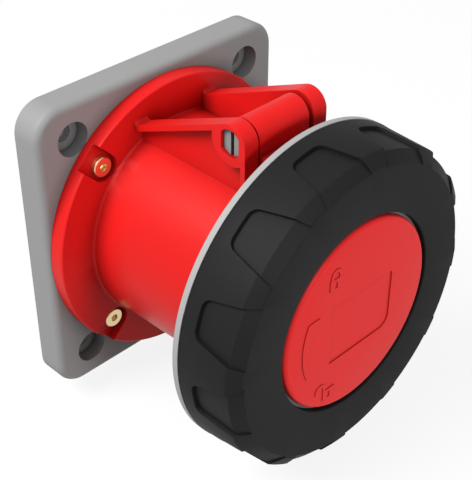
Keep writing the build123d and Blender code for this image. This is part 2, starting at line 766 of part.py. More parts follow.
pieces = [
    base_plate.part,
    panel_gasket.part,
    housing.part,
    housing_seal.part,
    flange_screws,
    contact_carrier.part,
    carrier_screws,
    contact_retainer.part,
    retainer_screws,
    terminal_screws,
    hinge_pin.part,
    lid_plate.part,
    lid_gasket.part,
    bayonet_ring.part,
    grip_ring.part,
    cover_cap.part,
    cap_screws,
]
pieces += contacts

os.makedirs("parts", exist_ok=True)
for piece in pieces:
    export_step(piece, "parts/" + piece.label + ".step")
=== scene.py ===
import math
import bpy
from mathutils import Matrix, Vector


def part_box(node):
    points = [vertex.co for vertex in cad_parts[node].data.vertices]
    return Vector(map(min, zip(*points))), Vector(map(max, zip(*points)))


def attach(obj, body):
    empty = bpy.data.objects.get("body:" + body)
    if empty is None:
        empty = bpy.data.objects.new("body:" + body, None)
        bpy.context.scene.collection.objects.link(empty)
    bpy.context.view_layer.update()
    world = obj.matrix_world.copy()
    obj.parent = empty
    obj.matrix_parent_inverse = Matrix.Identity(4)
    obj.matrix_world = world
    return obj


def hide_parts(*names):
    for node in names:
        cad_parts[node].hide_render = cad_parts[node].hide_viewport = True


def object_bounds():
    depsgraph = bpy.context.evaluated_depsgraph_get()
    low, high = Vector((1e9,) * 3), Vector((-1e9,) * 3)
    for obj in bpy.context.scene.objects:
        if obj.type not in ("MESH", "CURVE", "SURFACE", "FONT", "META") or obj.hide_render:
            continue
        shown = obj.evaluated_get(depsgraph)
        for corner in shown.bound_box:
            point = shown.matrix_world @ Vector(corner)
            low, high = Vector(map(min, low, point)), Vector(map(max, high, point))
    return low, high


bl_info = {
    "name": "Industrial Panel Socket",
    "version": (1, 0, 0),
    "blender": (4, 5, 0),
    "location": "3D View > Sidebar > Socket",
    "description": "Dresses the packed panel socket with finished pieces, materials and a studio stage",
    "category": "Object",
}

import bmesh
import bpy
from bpy.props import FloatProperty, FloatVectorProperty, IntProperty, PointerProperty
from mathutils import Matrix, Vector

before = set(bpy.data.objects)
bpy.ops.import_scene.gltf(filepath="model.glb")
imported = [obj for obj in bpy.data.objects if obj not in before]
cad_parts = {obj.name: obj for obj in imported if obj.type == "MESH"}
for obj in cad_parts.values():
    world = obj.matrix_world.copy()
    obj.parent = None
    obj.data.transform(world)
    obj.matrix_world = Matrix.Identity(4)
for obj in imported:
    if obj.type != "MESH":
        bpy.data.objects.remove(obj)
CAD_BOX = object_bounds()
MM = 0.001
# Points nearer than MERGE become one, and an edge within NEAR of a place is taken to lie there
MERGE = 0.002 * MM
NEAR = 0.02 * MM
# Cutters run this far past a face, and raised marks reach this far into the cap
PAST = 1.0 * MM
SMOOTH_ANGLE = math.radians(30.0)
WHITE = (1.0, 1.0, 1.0, 1.0)
BLACK = (0.0, 0.0, 0.0, 1.0)

# Depths are distances in front of the mounting face, so a depth d lies at y = -d
GRIP_LOW, GRIP_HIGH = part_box("grip_ring")
CAP_LOW, CAP_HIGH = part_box("cover_cap")
SCREWS_BACK = -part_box("flange_screws")[1][1]


def length(name, description, default):
    """Length property in metres, given in millimetres."""
    size = default * MM
    return FloatProperty(name=name, description=description, default=size, min=0, unit="LENGTH", precision=5)


def position(name, description, default):
    """Place property in metres, given in millimetres, on either side of the axis."""
    return FloatProperty(name=name, description=description, default=default * MM, unit="LENGTH", precision=5)


def tint(name, description, default):
    """Colour property in linear light."""
    return FloatVectorProperty(
        name=name, description=description, default=default, size=3, min=0, max=1, subtype="COLOR"
    )


def fraction(name, description, default):
    """Share property, from none to all."""
    return FloatProperty(name=name, description=description, default=default, min=0, max=1, subtype="FACTOR")


def wattage(name, description, default):
    """Lamp power property in watts."""
    return FloatProperty(name=name, description=description, default=default, min=0, unit="POWER")


def count(name, description, default, least):
    """Count property."""
    return IntProperty(name=name, description=description, default=default, min=least)


class SocketLight(bpy.types.PropertyGroup):
    """Light of the stage."""

    ambient: fraction("Ambient", "Light from all round", 0.37)
    key_power: wattage("Key Power", "Power of the upper left lamp", 19.6)
    fill_power: wattage("Fill Power", "Power of the front lamp", 7.0)
    floor_glow: fraction("Floor Glow", "How white the floor looks", 0.86)


class SocketSizes(bpy.types.PropertyGroup):
    """Sizes of the pieces that are modelled here."""

    turn_steps: count("Turn Steps", "Faces round a turned form", 192, 48)
    arm_outer: length("Arm Outer", "Distance of a hinge arm's outer face from the middle", 18.1)
    boss_step: length("Boss Step", "Depth of the step round a hinge boss", 0.5)

    screw_circle: length("Screw Circle", "Radius of the circle of flange screws", 44.0)
    pocket_floor: length("Pocket Floor", "Depth of a pocket's floor", 13.7)
    screw_head: length("Screw Head", "Radius of a flange screw's head", 3.6)
    screw_shank: length("Screw Shank", "Radius of a flange screw's shank", 2.0)
    screw_rim: length("Screw Rim", "Bevel round a flange screw's head", 0.3)
    recess_radius: length("Recess Radius", "Corner radius of a screw's recess", 1.45)
    recess_depth: length("Recess Depth", "Depth of a screw's recess", 1.5)
    screw_front: length("Screw Front", "Depth of a flange screw's front", 15.7)

    grip_shoulder: length("Grip Shoulder", "Radius of the grip at its shoulder", 55.5)
    grip_shoulder_depth: length("Shoulder Depth", "Depth of the grip's shoulder", 95.5)
    grip_front: length("Grip Front", "Outer radius of the grip's front face", 51.3)
    grip_window: length("Grip Window", "Radius of the window in the grip", 34.5)
    grip_bore: length("Grip Bore", "Inner radius of the grip", 53.25)
    grip_wall: length("Grip Wall", "Thickness of the grip's front", 2.45)
    grip_edge: length("Grip Edge", "Rounding of the grip's edges", 0.45)
    grip_steps: count("Grip Steps", "Faces round the grip", 360, 72)

    pad_back: length("Pad Back", "Depth of a pad's rear edge", 82.2)
    pad_back_half: length("Pad Back Half", "Half width of a pad at the back", 6.24)
    pad_shoulder_half: length("Pad Shoulder Half", "Half width of a pad at the shoulder", 9.49)
    pad_front_half: length("Pad Front Half", "Half width of a pad at the front", 11.04)
    pad_corner: length("Pad Corner", "Radius of a pad's rear corners", 2.4)
    pad_sink: length("Pad Sink", "How deep a pad is sunk", 1.3)
    pad_overrun: length("Pad Overrun", "How far a pad's cut runs on past the front edge", 4.0)
    strip: length("Strip", "Width of the strips that bend round the grip", 0.97)
    pad_fade: fraction("Pad Fade", "How much of a pad's depth runs out at the front", 0.6)
    pad_phase: FloatProperty(
        name="Pad Phase",
        description="Turn of the first pad from the top",
        default=math.radians(-10.0),
        subtype="ANGLE",
    )
    pad_count: count("Pad Count", "Pads round the grip", 12, 3)

    cap_radius: length("Cap Radius", "Radius of the front cap", 33.45)
    hub_radius: length("Hub Radius", "Radius of the cap's hub", 29.2)
    cap_edge: length("Cap Edge", "Rounding of the cap's edge", 1.6)
    cap_thickness: length("Cap Thickness", "Thickness of the cap's brim", 2.5)
    cap_screws: length("Cap Screw Circle", "Radius of the circle of cap screws", 20.0)
    cap_hole: length("Cap Screw Hole", "Radius of a cap screw's hole", 1.7)

    field_x: position("Field X", "Middle of the sunk field across", 1.7)
    field_z: position("Field Z", "Middle of the sunk field upwards", -1.85)
    field_width: length("Field Width", "Width of the sunk field", 28.8)
    field_height: length("Field Height", "Height of the sunk field", 21.7)
    field_corner: length("Field Corner", "Radius of the field's round corners", 4.0)
    field_sink: length("Field Sink", "How deep the field is sunk", 0.35)
    mark_height: length("Mark Height", "How far the marks are raised", 0.25)
    arrow_radius: length("Arrow Radius", "Outer radius of the curved wedge", 25.8)
    arrow_width: length("Arrow Width", "Width of the wedge's upper end", 4.9)
    arrow_bow: length("Arrow Bow", "Bulge of the wedge's inner side", 1.3)
    arrow_top: position("Arrow Top", "Height of the wedge's upper end", 9.0)
    arrow_bottom: position("Arrow Bottom", "Height of the wedge's point", -12.6)

    closed_x: position("Closed Lock X", "Middle of the closed lock across", -11.9)
    closed_top: position("Closed Lock Top", "Top of the closed lock's body", 20.35)
    open_x: position("Open Lock X", "Middle of the open lock across", -12.4)
    open_top: position("Open Lock Top", "Top of the open lock's body", -22.75)
    lock_half: length("Lock Half", "Half width of a lock's body", 2.7)
    lock_height: length("Lock Height", "Height of a lock's body", 3.9)
    bow_outer: length("Bow Outer", "Outer radius of a lock's bow", 2.4)
    bow_inner: length("Bow Inner", "Inner radius of a lock's bow", 1.3)
    leg: length("Bow Leg", "Straight part of a lock's bow", 1.1)
    keyhole_half: length("Keyhole Half", "Half width of a keyhole", 0.5)
    keyhole_length: length("Keyhole Length", "Length of a keyhole", 2.3)
    keyhole_drop: length("Keyhole Drop", "How far a keyhole starts below the body's top", 1.1)


class SocketColours(bpy.types.PropertyGroup):
    """Base colours of the finishes."""

    red: tint("Red", "Moulded red plastic", (0.68, 0.011, 0.010))
    # Painted light: the cap's red is brighter and paler than the housing's red, standing in for the stronger
    # light and sheen on the cap's front
    cap_red: tint("Cap Red", "Front cap", (0.90, 0.028, 0.028))
    grey: tint("Grey", "Moulded grey plastic", (0.272, 0.273, 0.272))
    pale_grey: tint("Pale Grey", "Turning ring", (0.345, 0.343, 0.34))
    black: tint("Black", "Rubber grip", (0.0098, 0.0098, 0.0102))
    brass: tint("Brass", "Turned brass", (0.87, 0.69, 0.39))
    steel: tint("Steel", "Plated steel screws", (0.60, 0.61, 0.62))
    dark: tint("Dark", "Moulded insert", (0.030, 0.031, 0.033))
    seal: tint("Seal", "Rubber seals", (0.045, 0.045, 0.047))
    floor: tint("Floor", "Stage floor", (0.90, 0.90, 0.90))


class Value:
    """A node socket that takes part in sums, so that shader maths reads as plain expressions."""

    def __init__(self, tree, socket):
        self.tree = tree
        self.socket = socket

    def math(self, operation, *values):
        return node(self.tree, "ShaderNodeMath", {"operation": operation}, *values)

    def __add__(self, other):
        return self.math("ADD", self, other)

    def __radd__(self, other):
        return self.math("ADD", other, self)

    def __sub__(self, other):
        return self.math("SUBTRACT", self, other)

    def __rsub__(self, other):
        return self.math("SUBTRACT", other, self)

    def __mul__(self, other):
        return self.math("MULTIPLY", self, other)

    def __rmul__(self, other):
        return self.math("MULTIPLY", other, self)

    def most(self, other):
        return self.math("MAXIMUM", self, other)


def node(tree, kind, settings, *values, output=0, **named):
    """Adds a node, sets it up, feeds its sockets by order or by name, and returns one output."""
    made = tree.nodes.new(kind)
    for name, setting in settings.items():
        setattr(made, name, setting)
    for socket, value in list(enumerate(values)) + [(key.replace("_", " "), v) for key, v in named.items()]:
        if isinstance(value, Value):
            tree.links.new(value.socket, made.inputs[socket])
        else:
            made.inputs[socket].default_value = value
    return Value(tree, made.outputs[output])


def mix_colours(tree, amount, first, second):
    """One colour over another by a mask."""
    return node(tree, "ShaderNodeMix", {"data_type": "RGBA"}, output=2, Factor=amount, A=first, B=second)


def four(colour, scale=1.0):
    """Colour with its alpha, lightened or darkened as a whole."""
    return tuple(min(1.0, level * scale) for level in colour) + (1.0,)


def blank(name):
    """New material with its node tree and its main shader."""
    material = bpy.data.materials.new(name)
    material.use_nodes = True
    tree = material.node_tree
    return material, tree, tree.nodes["Principled BSDF"]


def feed(tree, shader, socket, value):
    """Links a value to a socket of the main shader."""
    tree.links.new(value.socket, shader.inputs[socket])


def noise(tree, scale, detail):
    """Noise over the piece at a given scale, in Object coordinates."""
    spot = node(tree, "ShaderNodeTexCoord", {}, output="Object")
    return node(tree, "ShaderNodeTexNoise", {}, Vector=spot, Scale=scale, Detail=detail)


# Rays that the painted shade in corners and the rounding of edges take at each point
SURFACE_SAMPLES = 6


def with_painted_corner_shade(tree, colour, reach, depth, alone=True):
    """Colour with painted shade towards inner corners, read from ambient occlusion; unless it stands alone,
    other pieces make corners too.
    """
    settings = {"samples": SURFACE_SAMPLES, "only_local": alone}
    openness = node(tree, "ShaderNodeAmbientOcclusion", settings, output="AO", Distance=reach)
    return mix_colours(tree, (1.0 - openness) * depth, colour, BLACK)


def softened(tree, radius):
    """Surface direction with its edges rounded off."""
    return node(tree, "ShaderNodeBevel", {"samples": SURFACE_SAMPLES}, Radius=radius)


def bumped(tree, height, strength, distance, normal):
    """Fine relief on top of a surface direction."""
    return node(
        tree, "ShaderNodeBump", {}, Strength=strength, Distance=distance, Height=height, Normal=normal
    )


def moulded(name, colour, roughness, edge=0.35 * MM, gloss=0.22, painted_narrow_shade=0.9, painted_wide_shade=None):
    """Moulded plastic: faint mottling, a fine spark-eroded grain, softened edges and painted shade in
    corners.

    Painted narrow shade is the depth of the shade painted into the piece's own narrow corners. Painted wide
    shade is the reach and the depth of the shade painted into the wider ones, where other pieces count too.
    """
    material, tree, shader = blank(name)
    cloud = noise(tree, scale=55.0, detail=3.0)
    flow = noise(tree, scale=14.0, detail=2.0)
    speck = noise(tree, scale=2600.0, detail=2.0)
    tone = (cloud + flow) * 0.5
    skin = mix_colours(tree, tone, four(colour, scale=0.95), four(colour, scale=1.05))
    # Painted shade: the colour darkens towards the piece's own narrow corners
    skin = with_painted_corner_shade(tree, skin, reach=1.0 * MM, depth=painted_narrow_shade)
    # Painted shade: the colour darkens towards wider corners, where other pieces count too
    if painted_wide_shade:
        skin = with_painted_corner_shade(tree, skin, *painted_wide_shade, alone=False)
    grain = bumped(tree, speck, strength=0.10, distance=0.05 * MM, normal=softened(tree, edge))
    feed(tree, shader, "Base Color", skin)
    feed(tree, shader, "Roughness", roughness + (cloud - 0.5) * 0.06 + (speck - 0.5) * 0.04)
    feed(tree, shader, "Normal", grain)
    shader.inputs["Specular IOR Level"].default_value = gloss
    return material


def rubber(name, colour, roughness):
    """Moulded rubber: dull, with a fine grain, a slightly paler bloom and painted shade in its corners."""
    material, tree, shader = blank(name)
    bloom = noise(tree, scale=34.0, detail=4.0)
    speck = noise(tree, scale=1900.0, detail=3.0)
    skin = mix_colours(tree, bloom, four(colour, scale=0.88), four(colour, scale=1.14))
    edge = softened(tree, radius=0.25 * MM)
    # Painted shade: the colour darkens towards the rubber's inner corners
    feed(tree, shader, "Base Color", with_painted_corner_shade(tree, skin, reach=0.8 * MM, depth=1.0))
    feed(tree, shader, "Roughness", roughness + (bloom - 0.5) * 0.07 + (speck - 0.5) * 0.05)
    feed(tree, shader, "Normal", bumped(tree, speck, strength=0.14, distance=0.06 * MM, normal=edge))
    shader.inputs["Specular IOR Level"].default_value = 0.13
    return material


def bare_metal(name, colour, roughness):
    """Turned or plated metal: a faint grain and small patches of tarnish."""
    material, tree, shader = blank(name)
    patch = noise(tree, scale=240.0, detail=3.0)
    speck = noise(tree, scale=3000.0, detail=1.0)
    skin = mix_colours(tree, patch, four(colour, scale=0.80), four(colour, scale=1.05))
    edge = softened(tree, radius=0.12 * MM)
    feed(tree, shader, "Base Color", skin)
    feed(tree, shader, "Roughness", roughness + (patch - 0.5) * 0.12)
    feed(tree, shader, "Normal", bumped(tree, speck, strength=0.06, distance=0.02 * MM, normal=edge))
    shader.inputs["Metallic"].default_value = 1.0
    return material


# How each finish is made, the colour that it takes, and its settings; the shade settings paint shade into
# corners
FINISHES = {
    "red_moulding": (
        moulded,
        "red",
        {"roughness": 0.38, "gloss": 0.16, "painted_narrow_shade": 0.4, "painted_wide_shade": (9.0 * MM, 0.6)},
    ),
    # The cap takes the brighter red of painted light, with painted shade towards the grip's window
    "cap_moulding": (moulded, "cap_red", {"roughness": 0.40, "gloss": 0.12, "painted_wide_shade": (4.0 * MM, 0.55)}),
    "grey_moulding": (moulded, "grey", {"roughness": 0.52, "edge": 0.25 * MM, "painted_wide_shade": (6.0 * MM, 0.75)}),
    "ring_moulding": (moulded, "pale_grey", {"roughness": 0.46, "edge": 0.2 * MM, "painted_wide_shade": (3.0 * MM, 0.8)}),
    "insert_moulding": (moulded, "dark", {"roughness": 0.42, "edge": 0.2 * MM}),
    "grip_rubber": (rubber, "black", {"roughness": 0.60}),
    "seal_rubber": (rubber, "seal", {"roughness": 0.72}),
    "turned_brass": (bare_metal, "brass", {"roughness": 0.29}),
    "plated_steel": (bare_metal, "steel", {"roughness": 0.35}),
}

NODE_FINISHES = {
    "base_plate": "grey_moulding",
    "panel_gasket": "seal_rubber",
    "housing": "red_moulding",
    "housing_seal": "seal_rubber",
    "flange_screws": "turned_brass",
    "contact_carrier": "insert_moulding",
    "carrier_screws": "plated_steel",
    "contact_retainer": "insert_moulding",
    "retainer_screws": "plated_steel",
    "terminal_screws": "plated_steel",
    "contact_l1": "turned_brass",
    "contact_l2": "turned_brass",
    "contact_l3": "turned_brass",
    "contact_neutral": "turned_brass",
    "contact_earth": "turned_brass",
    "contact_pilot": "turned_brass",
    "hinge_pin": "grey_moulding",
    "lid_plate": "red_moulding",
    "lid_gasket": "seal_rubber",
    "bayonet_ring": "ring_moulding",
    "grip_ring": "grip_rubber",
    "cover_cap": "cap_moulding",
    "cap_screws": "plated_steel",
}


def finish_named(name):
    """Material of a finish, made the first time that it is asked for."""
    if name in bpy.data.materials:
        return bpy.data.materials[name]
    maker, colour, settings = FINISHES[name]
    return maker(name, getattr(bpy.context.scene.socket_colours, colour), **settings)


class SOCKET_OT_finishes(bpy.types.Operator):
    """Give every carried-over node its finish"""

    bl_idname = "socket.finishes"
    bl_label = "Finishes"

    def execute(self, context):
        for name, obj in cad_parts.items():
            obj.data.materials.clear()
            obj.data.materials.append(finish_named(NODE_FINISHES[name]))
        return {"FINISHED"}


def deselect():
    """Leaves nothing selected, so that an operator acts on its own piece alone."""
    bpy.ops.object.select_all(action="DESELECT")


def activate(obj):
    """Makes one object the only one selected and the active one."""
    deselect()
    obj.select_set(True)
    bpy.context.view_layer.objects.active = obj


def settled(name):
    """Names the active object and puts its place into its mesh."""
    obj = bpy.context.object
    obj.name = obj.data.name = name
    bpy.ops.object.transform_apply(location=True, rotation=True, scale=True)
    return obj


def tidied(obj):
    """Merges doubled points and turns every face outwards."""
    activate(obj)
    bpy.ops.object.mode_set(mode="EDIT")
    bpy.ops.mesh.select_all(action="SELECT")
    bpy.ops.mesh.remove_doubles(threshold=MERGE)
    bpy.ops.mesh.normals_make_consistent(inside=False)
    bpy.ops.object.mode_set(mode="OBJECT")
    return obj


def turned(name, profile, steps, centre=(0.0, 0.0), solid=False):
    """Form turned round an axis along Y through (radius, depth) points; a solid one keeps its end faces."""
    deselect()
    x, z = centre
    radius, depth = profile[0]
    bpy.ops.mesh.primitive_circle_add(
        vertices=steps,
        radius=radius,
        fill_type="NGON" if solid else "NOTHING",
        location=(x, -depth, z),
        rotation=(math.pi / 2, 0, 0),
    )
    obj = settled(name)
    bpy.ops.object.mode_set(mode="EDIT")
    bpy.ops.mesh.select_all(action="SELECT")
    if solid:
        # The disc that stays behind closes the first end, and the one that moves closes the last
        bpy.ops.mesh.duplicate()
    extrude = bpy.ops.mesh.extrude_region_move if solid else bpy.ops.mesh.extrude_edges_move
    for wide, far in profile[1:]:
        extrude(TRANSFORM_OT_translate={"value": (0, depth - far, 0)})
        widened = wide / radius
        bpy.ops.transform.resize(value=(widened, 1, widened), center_override=(x, -far, z))
        radius, depth = wide, far
    bpy.ops.object.mode_set(mode="OBJECT")
    return tidied(obj)


def slab(name, low, high):
    """Block between two corners."""
    deselect()
    middle = [(a + b) / 2 for a, b in zip(low, high)]
    bpy.ops.mesh.primitive_cube_add(size=1, location=middle, scale=[b - a for a, b in zip(low, high)])
    return settled(name)


def round_edges(obj, test, amount, segments):
    """Rounds the edges whose two ends pass a test, and stops if there is none."""
    activate(obj)
    bpy.ops.object.mode_set(mode="EDIT")
    bpy.ops.mesh.select_mode(type="EDGE")
    bpy.ops.mesh.select_all(action="DESELECT")
    mesh = bmesh.from_edit_mesh(obj.data)
    found = [edge for edge in mesh.edges if test(edge.verts[0].co, edge.verts[1].co)]
    if not found:
        raise RuntimeError("an edge to round wasn't found on " + obj.name)
    for edge in found:
        edge.select_set(True)
    bmesh.update_edit_mesh(obj.data)
    bpy.ops.mesh.bevel(offset=amount, segments=segments, profile=0.5, affect="EDGES")
    bpy.ops.mesh.select_mode(type="VERT")
    bpy.ops.object.mode_set(mode="OBJECT")


def on_ring(radius, depth):
    """Test for the edges of a turned form at a radius and a depth."""

    def test(a, b):
        return all(abs(math.hypot(p.x, p.z) - radius) < NEAR and abs(-p.y - depth) < NEAR for p in (a, b))

    return test


def along_y(x, z):
    """Test for the edge that runs along Y at a place."""

    def test(a, b):
        return all(abs(p.x - x) < NEAR and abs(p.z - z) < NEAR for p in (a, b))

    return test


def combine(obj, tool, operation):
    """Cuts or joins a form with another one, which is used up."""
    activate(obj)
    modifier = obj.modifiers.new(operation, "BOOLEAN")
    modifier.operation = operation
    modifier.solver = "EXACT"
    modifier.object = tool
    bpy.ops.object.modifier_apply(modifier=modifier.name)
    bpy.data.objects.remove(tool, do_unlink=True)


def copied(name, new_name):
    """Copy of a carried-over node, with its stored normals cleared and its doubled points merged."""
    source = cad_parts[name]
    copy = bpy.data.objects.new(new_name, source.data.copy())
    copy.data.name = new_name
    copy.matrix_world = source.matrix_world
    bpy.context.scene.collection.objects.link(copy)
    activate(copy)
    bpy.ops.mesh.customdata_custom_splitnormals_clear()
    return tidied(copy)


def joined(name, parts):
    """One object of several."""
    activate(parts[0])
    for part in parts[1:]:
        part.select_set(True)
    bpy.ops.object.join()
    obj = bpy.context.object
    obj.name = obj.data.name = name
    return obj


def twin(obj, name, matrix):
    """Copy with a mesh of its own, moved in its mesh."""
    copy = obj.copy()
    copy.data = obj.data.copy()
    copy.name = copy.data.name = name
    copy.data.transform(matrix)
    bpy.context.scene.collection.objects.link(copy)
    return copy


def finished(obj, finish, body, slot, *nodes):
    """Smooths a piece, gives it its finish, and puts it on its body in place of its nodes."""
    activate(obj)
    bpy.ops.object.shade_smooth_by_angle(angle=SMOOTH_ANGLE)
    obj.data.materials.clear()
    obj.data.materials.append(finish_named(finish))
    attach(obj, body)
    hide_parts(*nodes)


def arc(centre, radius, start, end, steps):
    """Points of an arc between two angles in degrees."""
    angles = [math.radians(start + (end - start) * i / steps) for i in range(steps + 1)]
    return [(centre[0] + radius * math.cos(a), centre[1] + radius * math.sin(a)) for a in angles]


def relief(name, outlines, back, front):
    """Flat shape between two depths, from closed outlines of (x, z) points; an inner outline is a hole."""
    curve = bpy.data.curves.new(name, "CURVE")
    curve.dimensions = "2D"
    curve.fill_mode = "BOTH"
    curve.extrude = (front - back) / 2
    for outline in outlines:
        spline = curve.splines.new("POLY")
        spline.points.add(len(outline) - 1)
        for point, (x, z) in zip(spline.points, outline):
            point.co = (x, z, 0, 1)
        spline.use_cyclic_u = True
    obj = bpy.data.objects.new(name, curve)
    bpy.context.scene.collection.objects.link(obj)
    obj.location = (0, -(back + front) / 2, 0)
    obj.rotation_euler = (math.pi / 2, 0, 0)
    activate(obj)
    bpy.ops.object.convert(target="MESH")
    return tidied(settled(name))


class SOCKET_OT_housing(bpy.types.Operator):
    """Carry the housing over, with the face of each hinge boss flush with its arm"""

    bl_idname = "socket.housing"
    bl_label = "Housing"

    def execute(self, context):
        size = context.scene.socket_sizes
        housing = copied("housing", "housing_moulding")
        activate(housing)
        bpy.ops.object.mode_set(mode="EDIT")
        for side in (-1, 1):
            bpy.ops.mesh.select_all(action="DESELECT")
            mesh = bmesh.from_edit_mesh(housing.data)
            level = side * (size.arm_outer - size.boss_step)
            found = [vertex for vertex in mesh.verts if abs(vertex.co.x - level) < NEAR]
            if not found:
                raise RuntimeError("the step round a hinge boss wasn't found")
            for vertex in found:
                vertex.select_set(True)
            mesh.select_flush_mode()
            bmesh.update_edit_mesh(housing.data)
            bpy.ops.transform.translate(value=(side * size.boss_step, 0, 0))
        bpy.ops.object.mode_set(mode="OBJECT")
        finished(tidied(housing), "red_moulding", "base", "red_plastic", "housing")
        return {"FINISHED"}


CAP_SCREW_COUNT = 3
CAP_HOLE_DEPTH = 3 * MM
HOLE_STEPS = 32
CAP_EDGE_STEPS = 6
FIELD_CORNER_STEPS = 8
FIELD_TIP_STEPS = 6
ARROW_STEPS = 24
BOW_OUTER_STEPS, BOW_INNER_STEPS = 16, 12
KEYHOLE_STEPS = 10
# Share of the leg at which the free end of the open lock's bow stands above the body
FREE_LEG = 0.4


class SOCKET_OT_cap(bpy.types.Operator):
    """Model the front cap with its sunk field and its raised turning marks"""

    bl_idname = "socket.cap"
    bl_label = "Front Cap"

    def execute(self, context):
        size = context.scene.socket_sizes
        front = -CAP_LOW[1] - size.mark_height
        back = -CAP_HIGH[1]
        under = front - size.cap_thickness
        profile = [
            (size.hub_radius, back),
            (size.hub_radius, under),
            (size.cap_radius, under),
            (size.cap_radius, front),
        ]
        cap = turned("front_cap", profile, size.turn_steps, solid=True)
        round_edges(cap, on_ring(size.cap_radius, front), size.cap_edge, CAP_EDGE_STEPS)
        for i in range(CAP_SCREW_COUNT):
            angle = math.radians(90 + 360 / CAP_SCREW_COUNT * i)
            centre = (size.cap_screws * math.cos(angle), size.cap_screws * math.sin(angle))
            wall = [(size.cap_hole, back - PAST), (size.cap_hole, back + CAP_HOLE_DEPTH)]
            combine(cap, turned("cap_hole", wall, HOLE_STEPS, centre, solid=True), "DIFFERENCE")
        combine(cap, self.field(size, front), "DIFFERENCE")
        for mark in (self.arrow(size, front), self.closed_lock(size, front), self.open_lock(size, front)):
            combine(cap, mark, "UNION")
        finished(cap, "cap_moulding", "lid", "red_plastic", "cover_cap")
        return {"FINISHED"}

    def field(self, size, front):
        """Cutter for the sunk rectangle, with a large round corner below and a small one above it."""
        left, right = size.field_x - size.field_width / 2, size.field_x + size.field_width / 2
        low, high = size.field_z - size.field_height / 2, size.field_z + size.field_height / 2
        cutter = slab("field", (left, -front - PAST, low), (right, -front + size.field_sink, high))
        round_edges(cutter, along_y(right, low), size.field_corner, FIELD_CORNER_STEPS)
        round_edges(cutter, along_y(right, high), size.field_corner / 3, FIELD_TIP_STEPS)
        return cutter

    def arrow(self, size, front):
        """Curved wedge that narrows from the closed lock's side to the open lock's side."""
        middle = size.field_z
        top = 180 - math.degrees(math.asin((size.arrow_top - middle) / size.arrow_radius))
        bottom = 180 + math.degrees(math.asin((middle - size.arrow_bottom) / size.arrow_radius))
        outer = arc((0.0, middle), size.arrow_radius, top, bottom, ARROW_STEPS)
        point = Vector(outer[-1])
        end = Vector(outer[0]) + Vector((size.arrow_width, 0))
        bow = Vector((-size.arrow_bow, 0))
        along = [i / ARROW_STEPS for i in range(1, ARROW_STEPS + 1)]
        inner = [tuple(point.lerp(end, t) + bow * 4 * t * (1 - t)) for t in along]
        return self.raised("arrow", [outer + inner], size, front)

    def raised(self, name, outlines, size, front):
        """Mark that stands on the cap's face."""
        return relief(name, outlines, front - PAST, front + size.mark_height)

    def shackle(self, size, x, z):
        """Arcs of a lock's bow: the outer one from right to left, the inner one back again."""
        over = arc((x, z), size.bow_outer, 0, 180, BOW_OUTER_STEPS)
        under = arc((x, z), size.bow_inner, 180, 0, BOW_INNER_STEPS)
        return over, under

    def keyhole(self, size, x, top):
        """Slot in a lock's body, with a round upper end."""
        half = size.keyhole_half
        low = top - size.keyhole_length
        return arc((x, top - half), half, 0, 180, KEYHOLE_STEPS) + [(x - half, low), (x + half, low)]

    def closed_lock(self, size, front):
        """Lock with both legs of its bow in the body."""
        x, top = size.closed_x, size.closed_top
        half, low = size.lock_half, top - size.lock_height
        over, under = self.shackle(size, x, top + size.leg)
        outer = [(x + size.bow_outer, top)] + over + [(x - size.bow_outer, top), (x - half, top)]
        outer += [(x - half, low), (x + half, low), (x + half, top)]
        inner = [(x - size.bow_inner, top)] + under + [(x + size.bow_inner, top)]
        hole = self.keyhole(size, x, top - size.keyhole_drop)
        return self.raised("closed_lock", [outer, inner, hole], size, front)

    def open_lock(self, size, front):
        """Lock with its bow swung to the left, one leg in the body."""
        x, top = size.open_x, size.open_top
        half, low = size.lock_half, top - size.lock_height
        left = x - half
        middle = left - size.bow_inner
        over, under = self.shackle(size, middle, top + size.leg)
        free = top + size.leg * FREE_LEG
        outer = [(middle + size.bow_outer, top)] + over
        outer += [(middle - size.bow_outer, free), (middle - size.bow_inner, free)] + under
        outer += [(left, low), (x + half, low), (x + half, top)]
        hole = self.keyhole(size, x, top - size.keyhole_drop)
        return self.raised("open_lock", [outer, hole], size, front)


SCREW_STEPS = 64
RECESS_SIDES = 6
# The recess narrows to this share of its radius over this height at its floor
RECESS_TAPER = 0.86
RECESS_FLOOR = 0.4 * MM


class SOCKET_OT_screws(bpy.types.Operator):
    """Turn the brass screws of the flange, each with a six-sided recess"""

    bl_idname = "socket.screws"
    bl_label = "Flange Screws"

    def execute(self, context):
        size = context.scene.socket_sizes
        reach = size.screw_circle * math.sqrt(0.5)
        profile = [
            (size.screw_shank, SCREWS_BACK),
            (size.screw_shank, size.pocket_floor),
            (size.screw_head, size.pocket_floor),
            (size.screw_head, size.screw_front - size.screw_rim),
            (size.screw_head - size.screw_rim, size.screw_front),
        ]
        first = turned("flange_screw", profile, SCREW_STEPS, (-reach, reach), solid=True)
        deep = size.screw_front - size.recess_depth
        recess = [
            (size.recess_radius * RECESS_TAPER, deep),
            (size.recess_radius, deep + RECESS_FLOOR),
            (size.recess_radius, size.screw_front + PAST),
        ]
        combine(first, turned("recess", recess, RECESS_SIDES, (-reach, reach), solid=True), "DIFFERENCE")
        screws = [first]
        for number, (x, z) in enumerate(((1, 1), (1, -1), (-1, -1)), start=2):
            move = Matrix.Translation(((x + 1) * reach, 0, (z - 1) * reach))
            screws.append(twin(first, "flange_screw_%d" % number, move))
        first.name = first.data.name = "flange_screw_1"
        for screw in screws:
            finished(screw, "turned_brass", "base", "brass", "flange_screws")
        return {"FINISHED"}


GRIP_EDGE_STEPS = 3
PAD_CORNER_STEPS = 8
# The strips reach this far to each side, as a share of a pad's half width at the front
STRIP_REACH = 1.4


